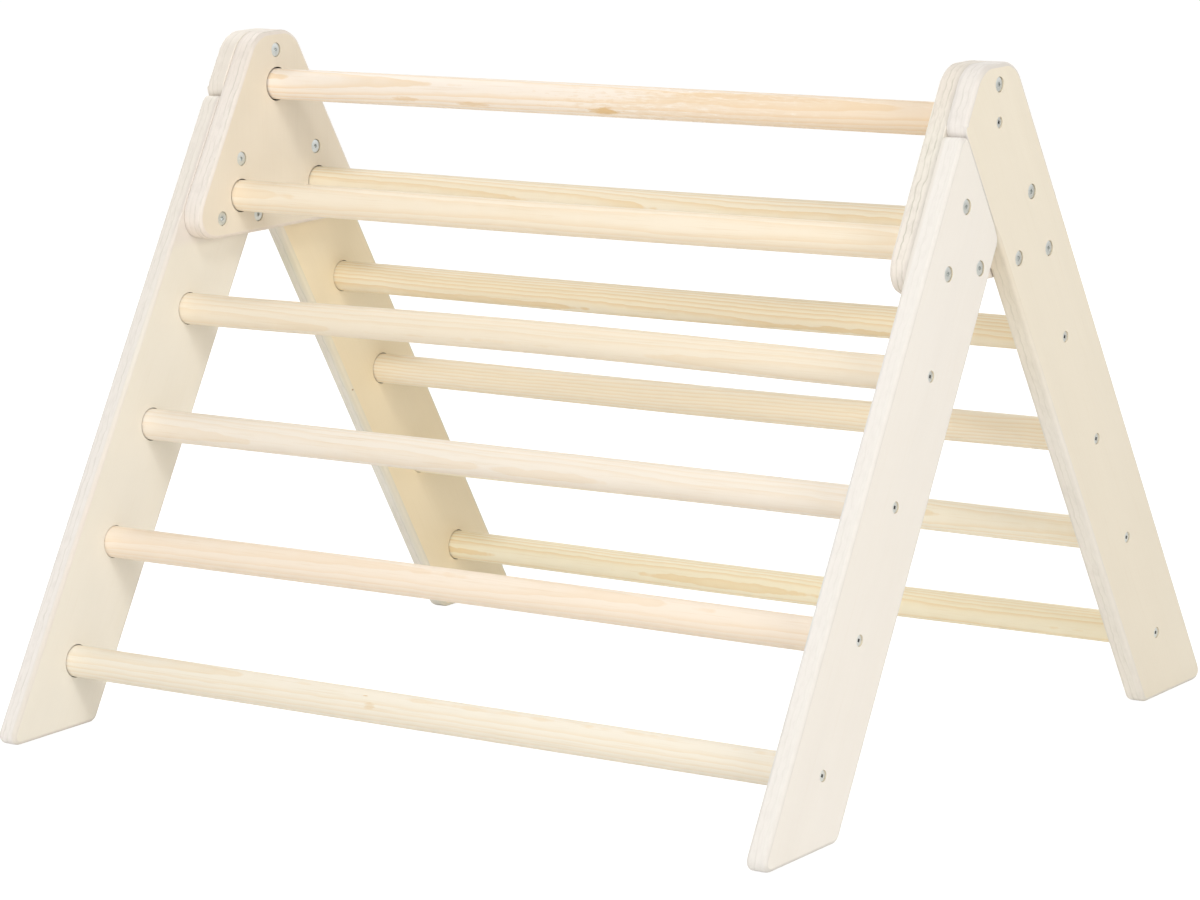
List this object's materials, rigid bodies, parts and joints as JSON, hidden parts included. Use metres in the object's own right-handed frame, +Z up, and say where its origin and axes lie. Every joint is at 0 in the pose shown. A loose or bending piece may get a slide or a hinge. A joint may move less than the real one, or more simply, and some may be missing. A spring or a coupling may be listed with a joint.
{
  "type": "climbing triangle",
  "caption": "Free-standing wooden climbing triangle for small children: bolted plywood side frames joined by round pine rungs up both slopes.",
  "frame": {"origin": "on the floor, in the middle of the footprint", "axes": "+X along the rungs towards the right side frame, +Y from the front slope to the back slope, +Z up"},
  "size_m": [0.84, 0.785, 0.63],
  "materials": {
    "birch_plywood": "fine sanded, clear matt oil, eased edges with the glue lines showing",
    "pine": "turned and sanded smooth, clear matt oil",
    "zinc_plated_steel": "bright zinc plate"
  },
  "bodies": {
    "root": {"left_gusset_plate": "birch_plywood", "right_gusset_plate": "birch_plywood", "left_back_leg": "birch_plywood", "right_back_leg": "birch_plywood", "left_front_leg": "birch_plywood", "right_front_leg": "birch_plywood", "top_rung": "pine", "upper_front_rung": "pine", "front_rung_1": "pine", "front_rung_2": "pine", "front_rung_3": "pine", "front_rung_4": "pine", "upper_back_rung": "pine", "back_rung_1": "pine", "back_rung_2": "pine", "back_rung_3": "pine", "back_rung_4": "pine", "left_connector_bolts": "zinc_plated_steel", "right_connector_bolts": "zinc_plated_steel", "left_sleeve_nuts": "zinc_plated_steel", "right_sleeve_nuts": "zinc_plated_steel", "left_leg_rung_screws": "zinc_plated_steel", "right_leg_rung_screws": "zinc_plated_steel", "left_gusset_rung_screws": "zinc_plated_steel", "right_gusset_rung_screws": "zinc_plated_steel", "left_top_rung_screw": "zinc_plated_steel", "right_top_rung_screw": "zinc_plated_steel"}
  },
  "joints": []
}
